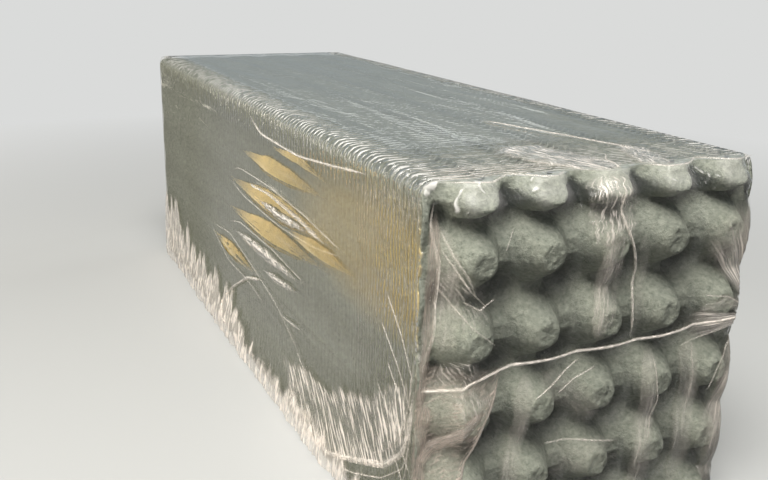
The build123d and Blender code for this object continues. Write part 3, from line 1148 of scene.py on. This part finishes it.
    # milky creased cores, with how far they lie over the film
    left_feathers = [
        ([(-60, 200), (-140, 200), (-225, 206)], 10, 1.6, 1.8, 6.2),
        ([(54, 137), (-71, 142), (-190, 146)], 14, 2.4, 1.6, 0.4),
        ([(-60, 122), (-115, 127), (-175, 134)], 9, 1.8, 1.5, 0.4),
        ([(-110, 92), (-150, 96), (-190, 100)], 3, 1.0, 1.2, 0.4),
        ([(-160, 78), (-180, 66), (-205, 58)], 3, 1.0, 1.2, 0.4),
    ]
    right_folds = [
        ([(-320, 250), (-190, 236), (-40, 238), (70, 256)], 16, 2.4, 0.9),
        ([(-380, 150), (-250, 160), (-90, 154)], 14, 2.2, 0.8),
        ([(-260, 96), (-120, 112), (10, 108), (150, 122)], 18, 3.0, 1.0),
        ([(30, 190), (170, 206), (320, 198)], 16, 2.4, 0.9),
        ([(140, 140), (260, 158), (380, 146)], 12, 2.0, 0.8),
        ([(-130, 196), (-40, 206), (60, 196)], 8, 1.8, 0.8),
    ]
    left_lenses = [
        ([(10, 236), (-128, 238), (-240, 240)], 21, 6.2, 1.0),
        ([(60, 196), (-127, 201), (-280, 206)], 26, 7.6, 1.0),
        ([(140, 111), (42, 110), (-42, 108)], 18, 5.4, 1.0),
        ([(70, 160), (-80, 168), (-250, 178)], 24, 7.0, 1.0),
        ([(-130, 186), (-220, 190), (-310, 192)], 18, 5.4, 1.0),
        ([(-90, 258), (-180, 260), (-250, 254)], 10, 3.0, 1.0),
    ]
    top_cords = [
        ([(13, -203), (54, -334), (68, -388)], 3.2, 1.4, 0.9),
        (
            [(-141, -414), (-128, -420), (-106, -428), (-83, -409), (-56, -428), (-34, -410)],
            *(2.2, 1.3, 1.0),
        ),
        ([(24, -411), (44, -428), (66, -424), (83, -409), (111, -427), (140, -414)], 2.2, 1.3, 1.0),
        ([(-142, -406), (-112, -412), (-84, -404), (-60, -410)], 1.3, 0.9, 0.8),
        ([(-142, -400), (-112, -404), (-78, -399), (-34, -404)], 1.3, 0.9, 0.9),
        ([(-142, -393), (-100, -396), (-70, -392), (-22, -397)], 1.2, 0.8, 0.7),
        ([(-142, -387), (-110, -389), (-60, -386), (-28, -391)], 1.2, 0.8, 0.8),
        ([(-142, -380), (-110, -382), (-66, -380)], 1.1, 0.7, 0.6),
        ([(-30, -352), (-16, -376), (-6, -404), (-4, -424)], 2.0, 1.2, 1.0),
        ([(30, -372), (14, -392), (6, -420)], 1.8, 1.1, 1.0),
        ([(-48, -372), (-34, -392), (-20, -416)], 1.5, 0.9, 0.8),
    ]
    # bands of the flap, with their width and milkiness
    flap_bands = [
        ([(-138, 276), (-140, 240), (-141, 195), (-143, 158), (-145, 118)], 8, 0.65),
        ([(-106, 134), (-122, 118), (-136, 100), (-146, 80)], 10, 0.9),
        ([(-142, 140), (-144, 90), (-145, 30)], 12, 0.65),
    ]
    flap_edge = [(-93, 164), (-96, 146), (-109, 117), (-121, 88), (-130, 40), (-136, 8)]

    def execute(self, context):
        form = Form()
        front, back, top = on(on_front, form), on(on_back, form), on(on_top, form)
        left, right = on(on_left, form), on(on_right, form)
        cords = gathered_film("polyethylene_film_gathered_to_a_cord", 3, 26, 0.28, 0.85, 0.8)
        crinkled = gathered_film("polyethylene_film_crinkled", 4, 22, 0.05, 1.0, 2.0)
        veils = gathered_film("polyethylene_film_creased", 5, 3.5, 0.14, 0.6, 1.6, soft=0.34)
        # painted reflection: the stretched folds' gloss is tinted gold
        painted_gold_gleam = bpy.context.scene.tray_bundle_colours.painted_gold_gleam
        lenses = gathered_film(
            "polyethylene_film_stretched", 2, 1.5, 0.0, 0.1, 0.5, rough=0.05, shine=painted_gold_gleam
        )
        crushed = gathered_film(
            "polyethylene_film_crushed", 20, 5, 0.05, 0.72, 1.5, rough=0.12, soft=0.16, slant=0.3
        )
        fanned = gathered_film("polyethylene_film_fanned", 20, 2.0, 0.26, 1.0, 1.6)

        cord_folds = (front, self.front_cords), (left, self.left_cords), (top, self.top_cords)
        self.strips("film_fold_cords", cords, *cord_folds)
        slow = {"segments": 120, "ends": 0.4}
        bm = film_bmesh()
        for points, width, height, milk, base in self.left_feathers:
            fold_strip(bm, points, width, height, on(on_left, form, base), milk, **slow)
        for points, width, height, milk in self.right_folds:
            fold_strip(bm, points, width, height, right, milk, **slow)
        finish_piece(bm, "film_fold_feathers", crinkled)
        self.strips("film_fold_veils", veils, (front, self.front_veils))
        flat = {"segments": 120, "ends": 0.5, "crest": 0.74, "edge": 0.12}
        self.strips("film_fold_lenses", lenses, (left, self.left_lenses), **flat)
        self.strips("film_crush", crushed, (front, self.front_crush), (top, self.top_crush))
        self.strips("film_back_folds", veils, (back, self.back_veils))
        bm = film_bmesh()
        for stop in self.front_fans:
            web(bm, self.fan_root, stop, front, 1.5, self.fan_milk, 60, 30)
        finish_piece(bm, "film_front_fans", fanned)
        self.flap(form)
        return {"FINISHED"}

    def strips(self, name, material, *groups, **shape):
        """One piece made of strips, from pairs of a face and its list of folds."""
        bm = film_bmesh()
        for surface, folds in groups:
            for points, width, height, milk in folds:
                fold_strip(bm, points, width, height, surface, milk, **shape)
        finish_piece(bm, name, material)

    def fan_milk(self, u, v):
        strongest, root, sides, far = 1.5, 0.04, 0.2, 0.6
        along = smooth((1 - u) / far) * smooth(u / root)
        return strongest * along * smooth(np.minimum(v, 1 - v) / sides)

    def flap(self, form):
        """The doubled flap at the lower left of the front."""
        corner_x = -147 * MM

        def place(u, v):
            edge_x, edge_z, _, _ = along_path(self.flap_edge, v)
            x = corner_x + (edge_x - corner_x) * u
            lift = (1.4 + 1.2 * layered_noise(x / (9 * MM), edge_z / (45 * MM), 67)) * MM
            return on_front(form, x, edge_z, lift)

        def fade(u, v):
            knots = np.clip(layered_noise(u * 4 + v * 3, v * 9 - u * 4, 87), 0, 1)
            turned_edge = 0.4 * (u > 0.93)
            return (0.24 + 0.36 * knots + turned_edge) * smooth((1 - u) / 0.03) * smooth(v / 0.03)

        bm = film_bmesh()
        grid_mesh(bm, 60, 110, place, fade)
        fold_strip(bm, self.flap_edge, 2.4, 1.4, on(on_front, form, 1.5), 1.3)
        for points, width, milk in self.flap_bands:
            fold_strip(bm, points, width, 1.8, on(on_front, form, 1.2), milk)
        haze = bpy.context.scene.tray_bundle_colours.doubled_haze
        doubled = gathered_film(
            "polyethylene_film_doubled", 52, 6, 0.42, 1.3, 1.6, soft=0.12, slant=0.24, haze=haze
        )
        finish_piece(bm, "film_flap", doubled)


class BUNDLE_OT_hems(bpy.types.Operator):
    """Crumpled hems at the foot of the long sides, and the fan of pleats by the front corner"""

    bl_idname = "bundle.hems"
    bl_label = "Crumpled hems"

    # along the bundle and up, in millimetres: where the pleats start and where they are gathered
    fan_start = [
        *((-110, 54), (-172, 74), (-246, 84), (-306, 114)),
        *((-346, 126), (-368, 138), (-392, 150), (-404, 164)),
    ]
    fan_stop = [(-190, 4), (-247, 14), (-293, 26), (-318, 36), (-363, 56), (-396, 84), (-407, 112)]

    def execute(self, context):
        form = Form()
        crumpled = gathered_film(
            "polyethylene_film_crumpled", 4.5, 120, 0.5, 1.25, 3.4, rough=0.2, soft=0.09
        )
        for side, name in ((-1, "left"), (1, "right")):
            bm = film_bmesh()
            grid_mesh(bm, 620, 24, lambda u, v: self.band(form, u, v, side), self.band_milk)
            finish_piece(bm, f"film_hem_{name}", crumpled)
        bm = film_bmesh()
        web(bm, self.fan_start, self.fan_stop, on(on_left, form), 2.0, self.fan_milk)
        pleated = gathered_film("polyethylene_film_pleated", 74, 2.6, 0.06, 1.15, 2.6, soft=0.12)
        finish_piece(bm, "film_pleat_fan", pleated)
        return {"FINISHED"}

    def fan_milk(self, u, v):
        """The fan starts in a ragged line and fades at its two sides."""
        ragged = 0.16 + 0.12 * layered_noise(v * 22, v * 0, 71)
        return smooth((u - ragged) / 0.12) * smooth(np.minimum(v, 1 - v) / 0.08)

    def band(self, form, u, v, side):
        foot, height, clearance = 1 * MM, 108 * MM, 0.3 * MM
        y = form.rim_y + 1 * MM + (form.back_rim_y - form.rim_y + 9 * MM) * u
        z = foot + height * v
        crinkle = 1.6 * MM * (1 + layered_noise(y / (5 * MM) + v * 2, z / (22 * MM), 73))
        return side_skin(form, y, z, side, (crinkle + clearance) * (1 - v) + clearance)

    def band_milk(self, u, v):
        # taller towards the back in two steps, and lowest for the half nearer the front
        front, half_way, back = 0.3, 0.34, 0.26
        height = front + half_way * smooth((u - 0.47) / 0.08) + back * smooth((u - 0.72) / 0.2)
        ragged = height * (0.8 + 0.36 * layered_noise(u * 70, u * 0, 79))
        return smooth((ragged - v) / 0.07) * (0.7 + 0.5 * v)


class BUNDLE_OT_stage(bpy.types.Operator):
    """Pale floor and backdrop, soft lamps and the camera"""

    bl_idname = "bundle.stage"
    bl_label = "Stage"

    # name, place, aim, width, height, power in watts and colour; places and sizes in metres
    lamps = (
        ("key_lamp", (-0.5, -0.95, 1.8), (0, -0.15, 0.1), 1.1, 1.1, 56, (1.0, 0.98, 0.94)),
        ("right_fill_lamp", (2.3, 0.4, 1.1), (0.1, 0, 0.15), 1.4, 1.0, 28, (1.0, 0.99, 0.97)),
        ("left_fill_lamp", (-1.9, -0.6, 0.5), (-0.15, -0.15, 0.05), 1.0, 0.8, 20, (1.0, 0.94, 0.84)),
        ("side_strip_lamp", (-1.0, 1.95, 0.36), (-0.15, 0.1, 0.15), 1.5, 0.7, 8.2, (1.0, 0.92, 0.78)),
        ("back_fill_lamp", (-0.9, 2.3, 1.8), (0, 0.3, 0.12), 1.2, 1.0, 20, (1.0, 0.99, 0.97)),
        ("back_strip_lamp", (1.2, 2.7, 1.3), (0, 0.1, 0.29), 1.5, 0.5, 2.1, (0.95, 0.98, 1.0)),
    )
    # the camera of the photograph, fitted to the bundle's corners and tips
    camera_place = Vector((-0.4146, -0.9148, 0.4284))
    camera_right = Vector((0.90589, -0.423, 0.02083))
    camera_up = Vector((0.10604, 0.27416, 0.95582))
    focal_px = 900.0
    frame_px = 768.0
    sensor_mm = 36.0

    def execute(self, context):
        scene = context.scene
        scene.view_settings.view_transform = "Standard"
        self.floor(scene)
        self.room(scene)
        for lamp in self.lamps:
            self.lamp(*lamp)
        self.camera(scene)
        return {"FINISHED"}

    def mirrored(self, tree, rays):
        """1 for rays that a glossy or clear surface has turned."""
        turned = {0: rays["Is Glossy Ray"], 1: rays["Is Transmission Ray"]}
        return add_node(tree, "Math", turned, operation="ADD")

    def floor(self, scene):
        """Matt paint, pale to the eye and in reflections, and even in tone far from the lamps."""
        pale = scene.tray_bundle_colours.floor
        near_share, dark_paint = 0.66, (0.14, 0.14, 0.14, 1)
        material, tree = new_material("painted_floor_matt")
        rays = add_node(tree, "LightPath").outputs
        mirrored = self.mirrored(tree, rays)
        seen = add_node(tree, "Math", {0: rays["Is Camera Ray"], 1: mirrored}, operation="ADD")
        share = add_node(
            tree, "Math", {0: mirrored, 1: 0.5, 2: rays["Is Camera Ray"]}, operation="MULTIPLY_ADD"
        )
        paint = add_node(
            tree,
            "Mix",
            {0: share, 6: dark_paint, 7: rgba([near_share * c for c in pale])},
            data_type="RGBA",
        )
        grey = add_node(tree, "BsdfPrincipled", {"Base Color": paint.outputs[2], "Roughness": 0.85})
        where = add_node(tree, "TexCoord").outputs["Object"]
        away = add_node(tree, "VectorMath", {0: where}, operation="LENGTH")
        far_off = add_node(
            tree, "MapRange", {"Value": away.outputs["Value"], 1: 0.6, 2: 1.7, 3: 0.0, 4: 1.0}
        )
        even = add_node(tree, "Math", {0: seen, 1: far_off}, operation="MULTIPLY")
        level = add_node(tree, "MapRange", {"Value": rays["Is Camera Ray"], 3: 0.45, 4: 1.0})
        glow = add_node(tree, "Emission", {"Strength": level, "Color": rgba(pale)})
        both = add_node(tree, "MixShader", {0: even, 1: grey, 2: glow})
        add_node(tree, "OutputMaterial", {"Surface": both})
        bm = bmesh.new()
        bmesh.ops.create_grid(bm, x_segments=1, y_segments=1, size=14.0)
        mesh = bpy.data.meshes.new("floor")
        bm.to_mesh(mesh)
        bm.free()
        mesh.materials.append(material)
        floor = bpy.data.objects.new("floor", mesh)
        scene.collection.objects.link(floor)

    def room(self, scene):
        """Soft room light: faint as a lamp, brighter in the film, and pale behind the bundle."""
        as_lamp, in_mirror, mirrored_air = 0.09, 0.36, (0.87, 0.97, 0.99, 1)
        world = bpy.data.worlds.new("soft_room")
        world.use_nodes = True
        tree = world.node_tree
        tree.nodes.clear()
        rays = add_node(tree, "LightPath").outputs
        mirrored = self.mirrored(tree, rays)
        lighting = add_node(tree, "MapRange", {"Value": mirrored, 3: as_lamp, 4: in_mirror})
        level = add_node(tree, "MapRange", {"Value": rays["Is Camera Ray"], 3: lighting, 4: 1.0})
        air = add_node(
            tree,
            "Mix",
            {0: rays["Is Camera Ray"], 6: mirrored_air, 7: rgba(scene.tray_bundle_colours.floor)},
            data_type="RGBA",
        )
        sky = add_node(tree, "Background", {"Strength": level, "Color": air.outputs[2]})
        add_node(tree, "OutputWorld", {"Surface": sky})
        scene.world = world

    def camera(self, scene):
        camera = bpy.data.cameras.new("camera")
        camera.sensor_width = self.sensor_mm
        camera.lens = self.sensor_mm * self.focal_px / self.frame_px
        camera.clip_end = 100
        holder = bpy.data.objects.new("camera", camera)
        scene.collection.objects.link(holder)
        right, up = self.camera_right.normalized(), self.camera_up.normalized()
        turn = Matrix((right, up, right.cross(up))).transposed()
        holder.matrix_world = Matrix.Translation(self.camera_place) @ turn.to_4x4()
        scene.camera = holder

    def lamp(self, name, place, aim, width, height, power, colour):
        """A soft lamp. The fill lamps don't show in the film, which would look like hard glare."""
        data = bpy.data.lights.new(name, "AREA")
        data.shape = "RECTANGLE"
        data.size, data.size_y = width, height
        data.energy = power
        data.color = colour
        lamp = bpy.data.objects.new(name, data)
        bpy.context.scene.collection.objects.link(lamp)
        lamp.visible_camera = False
        lamp.visible_glossy = not name.endswith("fill_lamp")
        lamp.location = place
        lamp.rotation_euler = (Vector(aim) - Vector(place)).to_track_quat("-Z", "Y").to_euler()


STEPS = (
    BUNDLE_OT_front_tray,
    BUNDLE_OT_back_tray,
    BUNDLE_OT_nested_trays,
    BUNDLE_OT_cells,
    BUNDLE_OT_film,
    BUNDLE_OT_seam,
    BUNDLE_OT_folds,
    BUNDLE_OT_hems,
    BUNDLE_OT_stage,
)


class BUNDLE_PT_panel(bpy.types.Panel):
    bl_label = "Tray Bundle"
    bl_idname = "BUNDLE_PT_panel"
    bl_space_type = "VIEW_3D"
    bl_region_type = "UI"
    bl_category = "Tray Bundle"

    def draw(self, context):
        for step in STEPS:
            self.layout.operator(step.bl_idname)


CLASSES = (TrayBundleSizes, TrayBundleColours, *STEPS, BUNDLE_PT_panel)


def register():
    for cls in CLASSES:
        bpy.utils.register_class(cls)
    bpy.types.Scene.tray_bundle_sizes = bpy.props.PointerProperty(type=TrayBundleSizes)
    bpy.types.Scene.tray_bundle_colours = bpy.props.PointerProperty(type=TrayBundleColours)


def unregister():
    del bpy.types.Scene.tray_bundle_colours
    del bpy.types.Scene.tray_bundle_sizes
    for cls in reversed(CLASSES):
        bpy.utils.unregister_class(cls)


def main():
    register()
    for step in STEPS:
        group, action = step.bl_idname.split(".")
        getattr(getattr(bpy.ops, group), action)()


if __name__ == "__main__":
    main()
